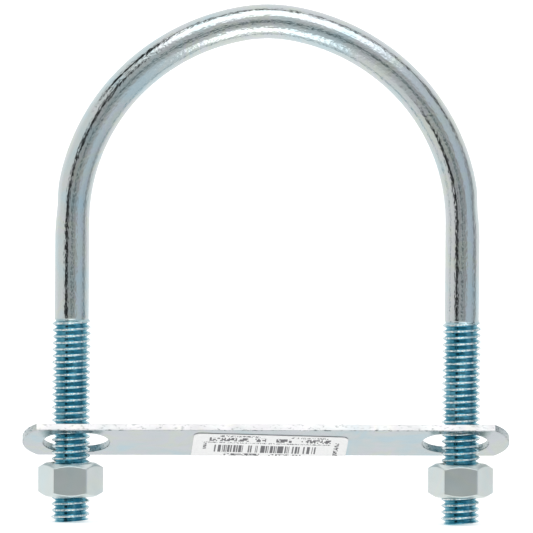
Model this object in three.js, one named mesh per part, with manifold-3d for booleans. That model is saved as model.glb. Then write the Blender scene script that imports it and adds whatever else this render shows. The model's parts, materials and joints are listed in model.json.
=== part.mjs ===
// A U-bolt with its slotted clamp plate, two hex nuts and a size label. Millimetres, +Z up.
//
// The origin lies midway between the two legs, in the plane that the leg ends stand on. +X runs from the left
// leg to the right leg, +Z runs from the leg ends to the bend, and the plate shows its labelled underside to -Y.
// The rod is one bent bar with a right-hand thread rolled on each leg. The plate hangs loose on the legs above
// the nuts, tilted until its slots bind on the threads. Each nut is threaded on its own leg.

import * as THREE from "three";
import { mergeVertices } from "three/addons/utils/BufferGeometryUtils.js";
import Module from "manifold-3d";

const wasm = await Module();
wasm.setup();

// ---------------------------------------------------------------------------------------------------------
// Driving dimensions

// The bent rod. A rolled thread stands proud of its blank, so the shank is thinner than the thread.
const INSIDE_WIDTH = 87.6; // between the shanks, which is the largest pipe that fits
const OVERALL_HEIGHT = 127.9; // from the leg ends to the outside of the crown
const SHANK_DIAMETER = 8.45;
const CROWN_TIGHTER_BY = 12.4; // how much the crown's mid-line radius is under half the leg spacing
const SIDE_FLATTER_BY = 1; // how much the sides' mid-line radius is over half the leg spacing
const CROWN_SWEEP_DEG = 10; // from the top of the bend to the shoulder, on each side
const SHOULDER_SWEEP_DEG = 30; // from the crown to the side, on each side

// The thread: 3/8 in, 16 turns to the inch, right-hand, with 60 degree flanks.
const THREAD_DIAMETER = 9.525;
const THREAD_PITCH = 25.4 / 16;
const THREAD_DEPTH = 1.0125; // from crest to root, which the pitch and the flanks leave room for
const THREAD_CREST_FLAT = 0.2;
const THREAD_FLANK_DEG = 30;
const THREAD_LENGTH = 50.6; // from the leg end to the end of the run-out
const RUNOUT_LENGTH = 1.6; // where the crest sinks to the shank
const LEG_END_CHAMFER = 0.7125; // how far the end chamfer cuts in from the crest
const LEG_END_CHAMFER_DEG = 45;

// The nuts.
const NUT_ACROSS_FLATS = 14;
const NUT_HEIGHT = 8.2;
const NUT_CHAMFER_CIRCLE = 12.4; // diameter of the flat bearing face
const NUT_CHAMFER_DEG = 30;
const NUT_COUNTERSINK_OVER_THREAD = 0.975; // how much wider its mouth is than the rod's thread
const NUT_COUNTERSINK_DEG = 45;
const THREAD_CLEARANCE = 0.22; // radial, between the rod's thread and the nut's

// What differs from leg to leg: where the crest crosses the leg's +X side, and how high the nut's middle is.
const LEFT_LEG = { side: -1, crestHeight: 0.45, nutHeight: 10.45 };
const RIGHT_LEG = { side: 1, crestHeight: 0.7, nutHeight: 10.9 };

// The clamp plate, a flat strap with a slot for each leg.
const PLATE_WIDTH = 15.9;
const PLATE_THICKNESS = 1.76;
const PLATE_END_RADIUS = 10.5; // each end is an arc that meets the sides at a corner
const PLATE_END_LAND = 5.1; // from the slot to the tip
const SLOT_LENGTH = 16.4;
const SLOT_CLEARANCE = 2.175; // the slot's width over the thread's diameter
const SLOT_INSET = 1.35; // how far the slot's middle is inside the leg's axis
const BINDING_GAP = 0.16; // left across the thread where the tilted slot binds on it
const PLATE_GAP_ABOVE_NUTS = 1.25;
const PLATE_ROLL_DEG = 0.3; // the left end hangs lower than the right

// The paper label, which covers part of the underside and folds over the plate's far edge.
const LABEL_WIDTH = 38.1;
const LABEL_LENGTH = 19;
const LABEL_PAPER = 0.12;
const LABEL_ADHESIVE = 0.05; // left open between the paper and the plate
const LABEL_TURN_DEG = 3.7; // how far it was stuck on askew
const LABEL_OFFSET = 1.4; // its middle, towards +X
const LABEL_SETBACK = 2.8; // from the plate's near edge to the middle of the label's near edge

// How finely the round stretches are divided.
const THREAD_SIDES = 14;
const SHANK_SIDES = 20;
const BEND_STEPS = 44;
const TURNED_SIDES = 36;
const ARC_DIVISIONS = 8;

// ---------------------------------------------------------------------------------------------------------
// Worked out from the driving dimensions

const radians = THREE.MathUtils.degToRad;
const LEG_X = (INSIDE_WIDTH + SHANK_DIAMETER) / 2;
const SHANK_RADIUS = SHANK_DIAMETER / 2;
const THREAD_RADIUS = THREAD_DIAMETER / 2;

const SLOT_WIDTH = THREAD_DIAMETER + SLOT_CLEARANCE;
const SLOT_X = LEG_X - SLOT_INSET;
const PLATE_LENGTH = 2 * (SLOT_X + SLOT_LENGTH / 2 + PLATE_END_LAND);

// A slot of width w in a plate of thickness t, tilted by a, leaves w cos(a) - t sin(a) for the thread.
const slotDiagonal = Math.hypot(SLOT_WIDTH, PLATE_THICKNESS);
const PLATE_TILT =
  Math.acos((THREAD_DIAMETER + BINDING_GAP) / slotDiagonal) - Math.atan2(PLATE_THICKNESS, SLOT_WIDTH);
const plateHalfHeight = (PLATE_WIDTH * Math.sin(PLATE_TILT) + PLATE_THICKNESS * Math.cos(PLATE_TILT)) / 2;
const nutTop = Math.max(LEFT_LEG.nutHeight, RIGHT_LEG.nutHeight) + NUT_HEIGHT / 2;
const PLATE_Z = nutTop + PLATE_GAP_ABOVE_NUTS + plateHalfHeight;

// ---------------------------------------------------------------------------------------------------------
// Solids

// A closed surface as a solid that can be joined and cut.
function solid(geometry) {
  const bare = geometry.clone();
  bare.deleteAttribute("normal");
  bare.deleteAttribute("uv");
  const merged = mergeVertices(bare, 1e-4);
  return new wasm.Manifold(
    new wasm.Mesh({
      numProp: 3,
      vertProperties: new Float32Array(merged.attributes.position.array),
      triVerts: new Uint32Array(merged.index.array),
    }),
  );
}

// A solid's surface, with flat faces.
function geometryOf(body) {
  const mesh = body.getMesh();
  const indexed = new THREE.BufferGeometry();
  indexed.setAttribute("position", new THREE.BufferAttribute(mesh.vertProperties, 3));
  indexed.setIndex(new THREE.BufferAttribute(mesh.triVerts, 1));
  const flat = indexed.toNonIndexed();
  flat.computeVertexNormals();
  return flat;
}

// A solid turned about +Z from a profile of [radius, height] points that starts and ends on the axis.
function turned(profile, sides = TURNED_SIDES) {
  const points = profile.map(([radius, height]) => new THREE.Vector2(radius, height));
  return solid(new THREE.LatheGeometry(points, sides).rotateX(Math.PI / 2));
}

// A flat outline raised from zLow to zHigh.
function raised(shape, zLow, zHigh) {
  const options = { depth: zHigh - zLow, bevelEnabled: false, curveSegments: ARC_DIVISIONS };
  return solid(new THREE.ExtrudeGeometry(shape, options).translate(0, 0, zLow));
}

function polygon(corners) {
  return new THREE.Shape(corners.map(([x, y]) => new THREE.Vector2(x, y)));
}

// A bar along +Z with a right-hand thread from below `low` to above `high`. `crestHeight` is a height at which
// the crest crosses the +X side. The surface is one helical strip with a root, a flank, a crest and a flank to
// each turn, whose last edge is the first edge of the turn above, and a fan to the axis closes each end.
function threadedBar({ growth = 0, crestHeight, low, high }) {
  const crest = THREAD_RADIUS + growth;
  const root = crest - THREAD_DEPTH;
  const flank = THREAD_DEPTH * Math.tan(radians(THREAD_FLANK_DEG));
  const profile = [
    [crest, -THREAD_CREST_FLAT / 2],
    [crest, THREAD_CREST_FLAT / 2],
    [root, THREAD_CREST_FLAT / 2 + flank],
    [root, THREAD_PITCH - THREAD_CREST_FLAT / 2 - flank],
  ];
  const last = profile.length - 1;
  const turnsBelow = Math.ceil((crestHeight - low) / THREAD_PITCH) + 2;
  const start = crestHeight - turnsBelow * THREAD_PITCH;
  const steps = THREAD_SIDES * (Math.ceil((high - start) / THREAD_PITCH) + 2);

  const positions = [];
  for (let step = 0; step <= steps; step++) {
    const angle = (2 * Math.PI * step) / THREAD_SIDES;
    const rise = start + (THREAD_PITCH * step) / THREAD_SIDES;
    for (const [radius, height] of profile) {
      positions.push(radius * Math.cos(angle), radius * Math.sin(angle), rise + height);
    }
  }
  const vertex = (step, point) => step * profile.length + point;

  const triangles = [];
  const quad = (a, b, c, d) => triangles.push(a, b, c, a, c, d);
  for (let step = 0; step < steps; step++) {
    for (let point = 0; point < last; point++) {
      quad(vertex(step, point), vertex(step + 1, point), vertex(step + 1, point + 1), vertex(step, point + 1));
    }
    const above = step + THREAD_SIDES;
    if (above < steps) {
      quad(vertex(step, last), vertex(step + 1, last), vertex(above + 1, 0), vertex(above, 0));
    }
  }

  const fan = (edge, height) => {
    const apex = positions.length / 3;
    positions.push(0, 0, height);
    edge.forEach((corner, i) => triangles.push(apex, corner, edge[(i + 1) % edge.length]));
  };
  const bottom = [];
  for (let step = THREAD_SIDES; step > 0; step--) bottom.push(vertex(step, 0));
  for (let point = 0; point <= last; point++) bottom.push(vertex(0, point));
  fan(bottom, start + THREAD_PITCH / 2);
  const top = [];
  for (let step = steps - THREAD_SIDES; step < steps; step++) top.push(vertex(step, last));
  for (let point = last; point >= 0; point--) top.push(vertex(steps, point));
  fan(top, start + (THREAD_PITCH * steps) / THREAD_SIDES + THREAD_PITCH / 2);

  return new wasm.Manifold(
    new wasm.Mesh({
      numProp: 3,
      vertProperties: new Float32Array(positions),
      triVerts: new Uint32Array(triangles),
    }),
  );
}

// ---------------------------------------------------------------------------------------------------------
// The rod

// The rod's mid-line, from `foot` on the left leg up, over the bend and down to `foot` on the right leg. The
// bend is five arcs, each tangent to the next: a side, a shoulder, the crown, a shoulder and a side.
class RodMidLine extends THREE.Curve {
  constructor(foot) {
    super();
    const crown = radians(CROWN_SWEEP_DEG);
    const shoulder = crown + radians(SHOULDER_SWEEP_DEG);
    const crownRadius = LEG_X - CROWN_TIGHTER_BY;
    const sideRadius = LEG_X + SIDE_FLATTER_BY;
    // The shoulders take what the crown and the sides leave of half the leg spacing.
    const shoulderRadius =
      (LEG_X - crownRadius * Math.sin(crown) - sideRadius * (1 - Math.sin(shoulder))) /
      (Math.sin(shoulder) - Math.sin(crown));
    const top = OVERALL_HEIGHT - SHANK_RADIUS;

    // Each arc's middle lies on the line through the last arc's middle and the point where the two meet.
    const middle = (from, radius, nextRadius, angle) => [
      from[0] + (radius - nextRadius) * Math.sin(angle),
      from[1] + (radius - nextRadius) * Math.cos(angle),
    ];
    const crownMiddle = [0, top - crownRadius];
    const shoulderMiddle = middle(crownMiddle, crownRadius, shoulderRadius, crown);
    const sideMiddle = middle(shoulderMiddle, shoulderRadius, sideRadius, shoulder);

    // The right half, from the crown down: arcs of [middle, radius, from angle, to angle], then the leg.
    this.arcs = [
      [crownMiddle, crownRadius, 0, crown],
      [shoulderMiddle, shoulderRadius, crown, shoulder],
      [sideMiddle, sideRadius, shoulder, Math.PI / 2],
    ];
    this.legLength = sideMiddle[1] - foot;
    this.halfLength = this.arcs.reduce((sum, [, radius, from, to]) => sum + radius * (to - from), this.legLength);
    this.springing = sideMiddle[1];
  }

  getPoint(t, target = new THREE.Vector3()) {
    const side = t < 0.5 ? -1 : 1;
    let along = Math.abs(2 * t - 1) * this.halfLength;
    for (const [[x, z], radius, from, to] of this.arcs) {
      const length = radius * (to - from);
      if (along <= length) {
        const angle = from + along / radius;
        return target.set(side * (x + radius * Math.sin(angle)), 0, z + radius * Math.cos(angle));
      }
      along -= length;
    }
    return target.set(side * LEG_X, 0, this.springing - along);
  }
}

// One threaded leg on its own axis: the thread, cut to a chamfered end below and a run-out above.
function threadedLeg({ crestHeight }) {
  const clear = THREAD_RADIUS + 1;
  const endRadius = THREAD_RADIUS - LEG_END_CHAMFER;
  const chamfer = (clear - endRadius) * Math.tan(radians(LEG_END_CHAMFER_DEG));
  const runoutSlope = RUNOUT_LENGTH / (THREAD_RADIUS - SHANK_RADIUS);
  const blank = turned([
    [0, 0],
    [endRadius, 0],
    [clear, chamfer],
    [clear, THREAD_LENGTH - (clear - SHANK_RADIUS) * runoutSlope],
    [SHANK_RADIUS, THREAD_LENGTH],
    [0, THREAD_LENGTH],
  ]);
  return threadedBar({ crestHeight, low: 0, high: THREAD_LENGTH }).intersect(blank);
}

function rod() {
  const circle = new THREE.Shape().absarc(0, 0, SHANK_RADIUS, 0, 2 * Math.PI);
  const section = polygon(circle.getPoints(SHANK_SIDES / 2).slice(0, SHANK_SIDES).map(({ x, y }) => [x, y]));
  const extrudePath = new RodMidLine(THREAD_LENGTH - RUNOUT_LENGTH / 2);
  const options = { steps: BEND_STEPS, bevelEnabled: false, extrudePath };
  let body = solid(new THREE.ExtrudeGeometry(section, options));
  for (const leg of [LEFT_LEG, RIGHT_LEG]) {
    body = body.add(threadedLeg(leg).translate([leg.side * LEG_X, 0, 0]));
  }
  return geometryOf(body);
}

// ---------------------------------------------------------------------------------------------------------
// The nuts, each with its underside at z = 0 and its axis on z

function nut({ crestHeight, nutHeight }) {
  const corner = NUT_ACROSS_FLATS / 2 / Math.cos(Math.PI / 6);
  const corners = [0, 1, 2, 3, 4, 5].map((i) => [
    corner * Math.cos((i * Math.PI) / 3),
    corner * Math.sin((i * Math.PI) / 3),
  ]);
  const face = NUT_CHAMFER_CIRCLE / 2;
  const reach = corner + 1;
  const drop = (reach - face) * Math.tan(radians(NUT_CHAMFER_DEG));
  const chamfers = turned([
    [0, 0],
    [face, 0],
    [reach, drop],
    [reach, NUT_HEIGHT - drop],
    [face, NUT_HEIGHT],
    [0, NUT_HEIGHT],
  ]);

  const mouth = THREAD_RADIUS + NUT_COUNTERSINK_OVER_THREAD / 2;
  const sunk = mouth * Math.tan(radians(NUT_COUNTERSINK_DEG));
  const beyond = 1;
  const wide = mouth + beyond / Math.tan(radians(NUT_COUNTERSINK_DEG));
  const countersink = (end, into) => {
    const profile = [
      [0, end + into * sunk],
      [wide, end - into * beyond],
      [0, end - into * beyond],
    ];
    return turned(into > 0 ? profile.reverse() : profile);
  };

  const underside = nutHeight - NUT_HEIGHT / 2;
  const tapped = threadedBar({
    growth: THREAD_CLEARANCE,
    crestHeight: crestHeight - underside,
    low: 0,
    high: NUT_HEIGHT,
  });
  const body = raised(polygon(corners), 0, NUT_HEIGHT)
    .intersect(chamfers)
    .subtract(tapped)
    .subtract(countersink(0, 1))
    .subtract(countersink(NUT_HEIGHT, -1));
  return geometryOf(body);
}

// ---------------------------------------------------------------------------------------------------------
// The plate and its label, both flat about z = 0 with the plate's width along y

function plate() {
  const half = PLATE_WIDTH / 2;
  const endMiddle = PLATE_LENGTH / 2 - PLATE_END_RADIUS;
  const endAngle = Math.asin(half / PLATE_END_RADIUS);
  const outline = new THREE.Shape();
  outline.absarc(endMiddle, 0, PLATE_END_RADIUS, -endAngle, endAngle);
  outline.absarc(-endMiddle, 0, PLATE_END_RADIUS, Math.PI - endAngle, Math.PI + endAngle);
  outline.closePath();

  const slotRadius = SLOT_WIDTH / 2;
  const straight = SLOT_LENGTH / 2 - slotRadius;
  for (const x of [-SLOT_X, SLOT_X]) {
    const slot = new THREE.Path();
    slot.absarc(x + straight, 0, slotRadius, -Math.PI / 2, Math.PI / 2);
    slot.absarc(x - straight, 0, slotRadius, Math.PI / 2, (3 * Math.PI) / 2);
    slot.closePath();
    outline.holes.push(slot);
  }
  return geometryOf(raised(outline, -PLATE_THICKNESS / 2, PLATE_THICKNESS / 2));
}

function label() {
  const half = PLATE_WIDTH / 2;
  const turn = radians(LABEL_TURN_DEG);
  const inner = PLATE_THICKNESS / 2 + LABEL_ADHESIVE;
  const outer = inner + LABEL_PAPER;
  const foldInner = half + LABEL_ADHESIVE;
  const foldOuter = foldInner + LABEL_PAPER;

  // A point of the paper, `across` its middle and `down` from its near edge, on the plate's underside.
  const place = (across, down) => [
    LABEL_OFFSET + across * Math.cos(turn) - down * Math.sin(turn),
    LABEL_SETBACK - half + across * Math.sin(turn) + down * Math.cos(turn),
  ];
  const right = LABEL_WIDTH / 2;
  const underside = [place(-right, 0), place(right, 0), place(right, LABEL_LENGTH), place(-right, LABEL_LENGTH)];
  // Past the fold the paper comes back over the upper face, so its outline there is mirrored.
  const upper = underside.map(([x, y]) => [x, 2 * half + PLATE_THICKNESS - y]).reverse();
  const foldAt = (across) => {
    const down = (2 * half - LABEL_SETBACK - across * Math.sin(turn)) / Math.cos(turn);
    return place(across, down)[0];
  };
  const strip = (left, end) => polygon([[left, foldInner], [end, foldInner], [end, foldOuter], [left, foldOuter]]);
  const keep = raised(
    polygon([[-PLATE_LENGTH, -half], [PLATE_LENGTH, -half], [PLATE_LENGTH, foldOuter], [-PLATE_LENGTH, foldOuter]]),
    -outer,
    outer,
  );
  const body = raised(polygon(underside), -outer, -inner)
    .add(raised(polygon(upper), inner, outer))
    .intersect(keep)
    .add(raised(strip(foldAt(-right), foldAt(right)), -outer, outer));
  return geometryOf(body);
}

// ---------------------------------------------------------------------------------------------------------
// The assembly

function part(name, geometry, colour, roughness, metalness) {
  const material = new THREE.MeshStandardMaterial({ color: colour, roughness, metalness, flatShading: true });
  const mesh = new THREE.Mesh(geometry, material);
  mesh.name = name;
  return mesh;
}

const ZINC = "#b9c6ca";
const NUT_ZINC = "#aeb8b9";
const PAPER = "#f3f4f1";

const uBolt = new THREE.Group();
uBolt.name = "u_bolt";
uBolt.add(part("u_rod", rod(), ZINC, 0.28, 1));

const plateGroup = new THREE.Group();
plateGroup.position.z = PLATE_Z;
plateGroup.rotation.set(-PLATE_TILT, -radians(PLATE_ROLL_DEG), 0);
plateGroup.add(part("clamp_plate", plate(), ZINC, 0.34, 1));
plateGroup.add(part("size_label", label(), PAPER, 0.7, 0));
uBolt.add(plateGroup);

for (const [name, leg] of [["hex_nut_left", LEFT_LEG], ["hex_nut_right", RIGHT_LEG]]) {
  const mesh = part(name, nut(leg), NUT_ZINC, 0.32, 1);
  mesh.position.set(leg.side * LEG_X, 0, leg.nutHeight - NUT_HEIGHT / 2);
  uBolt.add(mesh);
}

export default uBolt;
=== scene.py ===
# %% [markdown]
# # A U-bolt with its clamp plate, nuts and size label
# The real thing is one bent bar with a thread on each leg, a slotted strap, two hex nuts and a paper
# sticker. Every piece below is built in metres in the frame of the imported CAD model, so nothing is fitted
# by eye: places come from the boxes of the CAD nodes and from the record's mounts.

import json
import math

import bmesh
import bpy
from mathutils import Matrix, Vector


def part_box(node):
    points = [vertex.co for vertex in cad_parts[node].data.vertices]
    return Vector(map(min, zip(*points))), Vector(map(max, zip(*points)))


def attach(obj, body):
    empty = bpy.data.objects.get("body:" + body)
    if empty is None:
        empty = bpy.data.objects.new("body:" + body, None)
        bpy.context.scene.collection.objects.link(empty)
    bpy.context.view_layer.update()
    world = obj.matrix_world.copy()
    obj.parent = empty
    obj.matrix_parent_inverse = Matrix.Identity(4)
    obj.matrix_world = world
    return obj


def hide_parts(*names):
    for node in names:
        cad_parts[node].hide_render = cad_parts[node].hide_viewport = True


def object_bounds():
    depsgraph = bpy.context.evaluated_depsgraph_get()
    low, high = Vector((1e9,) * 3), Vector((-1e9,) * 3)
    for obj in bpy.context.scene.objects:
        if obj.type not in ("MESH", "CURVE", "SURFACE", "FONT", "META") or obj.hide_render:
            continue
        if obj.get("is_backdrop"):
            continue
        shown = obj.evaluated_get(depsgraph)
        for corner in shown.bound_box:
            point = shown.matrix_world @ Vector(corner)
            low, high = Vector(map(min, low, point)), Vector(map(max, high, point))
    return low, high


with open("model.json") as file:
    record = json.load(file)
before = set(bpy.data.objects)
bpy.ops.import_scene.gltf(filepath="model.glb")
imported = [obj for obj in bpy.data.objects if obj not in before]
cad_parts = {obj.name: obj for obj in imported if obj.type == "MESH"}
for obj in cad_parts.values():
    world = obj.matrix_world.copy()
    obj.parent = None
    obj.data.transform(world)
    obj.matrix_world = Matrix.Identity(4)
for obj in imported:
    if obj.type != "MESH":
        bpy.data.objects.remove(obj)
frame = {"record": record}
cad_low, cad_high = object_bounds()
scene = bpy.context.scene
MM = 0.001
print("CAD box in mm:", [round(v / MM, 2) for v in (*cad_low, *cad_high)])

# %% [markdown]
# ## The camera
# A product shot of a flat thing is taken from far off with a long lens, which keeps the two legs
# parallel. The camera stands well back, a few degrees above the middle, and leans a little, as a hand-set
# tripod does.

# %% Camera
FILM_WIDTH = 36.0
FRAME_WIDTH = 131.2 * MM
CAMERA_DISTANCE = 2.5
CAMERA_ELEVATION = math.radians(2.9)
CAMERA_LEAN = math.radians(0.42)
AIM_X = -0.15 * MM
AIM_SHARE = 0.4952
aim = Vector((AIM_X, 0.0, AIM_SHARE * (cad_low.z + cad_high.z)))

camera_data = bpy.data.cameras.new("camera")
camera_data.sensor_width = FILM_WIDTH
camera_data.lens = FILM_WIDTH * CAMERA_DISTANCE / FRAME_WIDTH
camera_data.clip_start = 0.05
camera = bpy.data.objects.new("camera", camera_data)
scene.collection.objects.link(camera)
backwards = Vector((0.0, -math.cos(CAMERA_ELEVATION), math.sin(CAMERA_ELEVATION)))
camera.location = aim + CAMERA_DISTANCE * backwards
facing = (-backwards).to_track_quat("-Z", "Y").to_matrix()
camera.rotation_euler = (facing @ Matrix.Rotation(CAMERA_LEAN, 3, "Z")).to_euler()
scene.camera = camera
scene.view_settings.view_transform = "Standard"
print("Lens in mm:", round(camera_data.lens, 1))


# %% [markdown]
# ## Wiring nodes
# Every finish and the studio's light are node trees. They could be wired by hand, link by link. Instead
# one helper makes a node and fills or links its inputs, and the others use it for what comes up again and
# again: a sum, a change of range, a colour ramp, a mix of two colours and a noise that is drawn out along
# an axis.

# %% Node helpers
def add_node(tree, kind, inputs=None, **settings):
    """A node of that kind. Each input is a number, a colour, or another node's output to link."""
    node = tree.nodes.new("ShaderNode" + kind)
    for name, value in settings.items():
        setattr(node, name, value)
    for name, value in (inputs or {}).items():
        if isinstance(value, bpy.types.NodeSocket):
            tree.links.new(value, node.inputs[name])
        else:
            node.inputs[name].default_value = value
    return node


def math_node(tree, operation, *values):
    """The result of one sum on numbers or outputs."""
    node = add_node(tree, "Math", dict(enumerate(values)), operation=operation)
    return node.outputs[0]


def map_range(tree, value, low, high, to_low=0.0, to_high=1.0, kind="SMOOTHSTEP"):
    """The value moved from one range to another, and held at the ends."""
    inputs = {"Value": value, "From Min": low, "From Max": high, "To Min": to_low, "To Max": to_high}
    return add_node(tree, "MapRange", inputs, interpolation_type=kind).outputs["Result"]


def ramp(tree, factor, stops):
    """A colour ramp whose stops are (place, grey or colour)."""
    node = add_node(tree, "ValToRGB", {"Fac": factor})
    elements = node.color_ramp.elements
    while len(elements) < len(stops):
        elements.new(0.5)
    for element, (place, tone) in zip(elements, stops):
        element.position = place
        colour = tone if isinstance(tone, tuple) else (tone, tone, tone)
        element.color = (*colour, 1.0)
    return node.outputs["Color"]


def mix_colour(tree, factor, first, second, blend="MIX"):
    """Two colours mixed."""
    node = tree.nodes.new("ShaderNodeMix")
    node.data_type = "RGBA"
    node.blend_type = blend
    colour_inputs = [i for i in node.inputs if i.type == "RGBA"]
    for socket, value in zip([node.inputs[0], *colour_inputs], (factor, first, second)):
        if isinstance(value, bpy.types.NodeSocket):
            tree.links.new(value, socket)
        else:
            socket.default_value = value
    return [o for o in node.outputs if o.type == "RGBA"][0]


def noise(tree, place, scale, detail, roughness, squeeze=None, distortion=0.0):
    """Noise from 0 to 1. An axis squeezed by a number under 1 has its pattern drawn out along it."""
    if squeeze is not None:
        squeezed = add_node(tree, "Mapping", {"Vector": place, "Scale": squeeze}, vector_type="POINT")
        place = squeezed.outputs["Vector"]
    inputs = {"Vector": place, "Scale": scale, "Detail": detail, "Roughness": roughness}
    return add_node(tree, "TexNoise", {**inputs, "Distortion": distortion}).outputs["Fac"]


# %% [markdown]
# ## The studio
# Bright plating has almost no colour of its own: it shows the room. The room here is a white tent, dim
# towards the camera. It could be built from sheets and lamps, but a sky of colour ramps is easier to
# tune. A direction is turned into an angle from the camera's side of the room, and one ramp each for
# right, up, left and down gives the brightness at that angle.

# %% Studio light
world = bpy.data.worlds.new("light_tent")
world.use_nodes = True
scene.world = world
sky = world.node_tree
sky.nodes.clear()
direction = add_node(sky, "TexCoord").outputs["Generated"]
unit = add_node(sky, "VectorMath", {0: direction}, operation="NORMALIZE").outputs[0]
axes = add_node(sky, "SeparateXYZ", {0: unit})
to_right, to_back, to_top = axes.outputs
to_front = math_node(sky, "MULTIPLY", to_back, -1.0)
to_bottom = math_node(sky, "MULTIPLY", to_top, -1.0)
from_front = math_node(sky, "DIVIDE", math_node(sky, "ARCCOSINE", to_front), math.pi)


def cool(level):
    """A faintly blue brightness."""
    return (0.88 * level, level, 1.11 * level)


def warm(level):
    """A faintly warm brightness."""
    return (1.03 * level, level, 0.98 * level)


def tent_side(*stops):
    """The brightness of one side of the tent. Each stop is (angle from the front in degrees, brightness)."""
    scaled = [(angle / 180.0, tone) for angle, tone in stops]
    return ramp(sky, from_front, scaled)


camera_spot = [(0, (0.09, 0.10, 0.10)), (3, (0.11, 0.12, 0.12)), (8, (0.41, 0.46, 0.46))]
right_side = tent_side(
    *camera_spot, (13, 0.36), (21, 0.33), (27, 0.46), (35, cool(0.62)), (58, cool(0.60)), (70, cool(0.54)),
    (102, 0.60), (114, 0.84), (135, 0.94), (155, 1.0),
)
upper_side = tent_side(
    *camera_spot, (13, 0.58), (30, 0.68), (40, 0.80), (90, 0.84), (110, 0.92), (150, 0.96),
)
left_side = tent_side(
    *camera_spot, (13, 0.42), (20, 0.38), (44, 0.44), (55, warm(0.74)), (66, warm(0.82)), (100, warm(0.84)),
    (116, 0.92), (155, 1.0),
)
lower_side = tent_side(
    *camera_spot, (13, 0.56), (32, 0.72), (40, 0.78), (84, 0.84), (100, 1.0), (118, 0.98), (150, 1.0),
)
sideways = mix_colour(sky, map_range(sky, to_right, -0.02, 0.02), left_side, right_side)
upright = mix_colour(sky, map_range(sky, to_top, -0.02, 0.02), lower_side, upper_side)
right_squared = math_node(sky, "MULTIPLY", to_right, to_right)
top_squared = math_node(sky, "MULTIPLY", to_top, to_top)
NEVER_ZERO = 1e-6
off_axis = math_node(sky, "MAXIMUM", math_node(sky, "ADD", right_squared, top_squared), NEVER_ZERO)
tent = mix_colour(sky, math_node(sky, "DIVIDE", top_squared, off_axis), sideways, upright)
print("The tent's sides take", len(sky.nodes), "nodes")


# %% [markdown]
# ## Lamps, stand and seam
# The dark line in bright plating is something dark in the room, so a tent with no gaps makes metal look
# like paint. On top of the sheets come a soft lamp above the front, a bright card below it, a dark stand
# to the left of the camera, and the seam where the tent's front half meets its back half. Each is a soft
# patch between two pairs of angles: the angle from the front, the clock round the camera's axis, the
# heading or the height.

# %% Lamps, stand and seam
def window(value, low, high, soft):
    """1 between low and high, falling to 0 over a soft edge outside them."""
    rise = map_range(sky, value, low - soft, low)
    fall = map_range(sky, value, high, high + soft, 1.0, 0.0)
    return math_node(sky, "MULTIPLY", rise, fall)


def patch(first, second, strength):
    """Two windows that overlap in a patch of that strength."""
    return math_node(sky, "MULTIPLY", math_node(sky, "MULTIPLY", first, second), strength)


tilt = math_node(sky, "MULTIPLY", from_front, 180.0)
heading = math_node(sky, "DEGREES", math_node(sky, "ARCTAN2", to_right, to_front))
height = math_node(sky, "DEGREES", math_node(sky, "ARCSINE", to_top))
clock = math_node(sky, "DEGREES", math_node(sky, "ARCTAN2", to_right, to_top))
clock_below = math_node(sky, "DEGREES", math_node(sky, "ARCTAN2", to_right, to_bottom))
lamp = patch(window(tilt, 46.0, 76.0, 7.0), window(clock, -28.0, 30.0, 16.0), 1.1)
card = patch(window(tilt, 44.0, 68.0, 8.0), window(clock_below, -13.0, 15.0, 15.0), 1.35)
stand = patch(window(heading, -45.0, -29.5, 3.0), window(height, -18.0, 28.0, 12.0), 0.95)
seam = patch(window(tilt, 86.0, 93.0, 4.0), window(clock, -46.0, 60.0, 12.0), 0.84)
corner = patch(window(tilt, 74.0, 94.0, 4.0), window(clock, -52.0, -36.0, 8.0), 0.97)
far_seam = patch(window(tilt, 84.0, 94.0, 8.0), window(clock, 60.0, 110.0, 14.0), 0.4)
level = math_node(sky, "ADD", 1.0, math_node(sky, "ADD", lamp, card))
for dark in (stand, seam, corner, far_seam):
    level = math_node(sky, "MULTIPLY", level, math_node(sky, "SUBTRACT", 1.0, dark))
tent_light = add_node(sky, "Background", {"Color": tent, "Strength": level})
backdrop = add_node(sky, "Background", {"Color": (1.0, 1.0, 1.0, 1.0), "Strength": 1.0})
seen = add_node(sky, "LightPath").outputs["Is Camera Ray"]
room = add_node(sky, "MixShader", {0: seen, 1: tent_light.outputs[0], 2: backdrop.outputs[0]})
output = sky.nodes.new("ShaderNodeOutputWorld")
sky.links.new(room.outputs[0], output.inputs["Surface"])
print("The whole sky takes", len(sky.nodes), "nodes")

# %% [markdown]
# ## The floor
# A plain pale sheet, big enough to reach the edge of every view. It glows a little, so that it stays as
# white as the backdrop. It is left out of mirror reflections: the plating sees the tent's bright card
# there instead, which is what lies under such a shot.

# %% Floor
FLOOR_REACH = 40.0
FLOOR_GREY = 0.85
FLOOR_GLOW = 0.5
floor_shape = bmesh.new()
bmesh.ops.create_circle(floor_shape, cap_ends=True, radius=FLOOR_REACH, segments=64)
floor_mesh = bpy.data.meshes.new("floor")
floor_shape.to_mesh(floor_mesh)
floor_shape.free()
floor = bpy.data.objects.new("floor", floor_mesh)
scene.collection.objects.link(floor)
floor.visible_glossy = False
floor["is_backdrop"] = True

floor_paint = bpy.data.materials.new("pale_floor")
floor_paint.use_nodes = True
floor_nodes = floor_paint.node_tree
shader = floor_nodes.nodes["Principled BSDF"]
shader.inputs["Base Color"].default_value = (FLOOR_GREY, FLOOR_GREY, FLOOR_GREY, 1.0)
shader.inputs["Roughness"].default_value = 0.9
shader.inputs["Specular IOR Level"].default_value = 0.0
shader.inputs["Emission Color"].default_value = (1.0, 1.0, 1.0, 1.0)
shader.inputs["Emission Strength"].default_value = FLOOR_GLOW
floor_mesh.materials.append(floor_paint)
print("Floor reaches", FLOOR_REACH, "m")


# %% [markdown]
# ## Finishes: bright zinc
# The zinc bath leaves a faint grain and a slow drift of tint between blue, grey and straw. Every metal
# piece here comes out of the same bath, so the drift and the grain are one node group, and each finish
# places it with its own metal, strength of tint and gloss.

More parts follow.
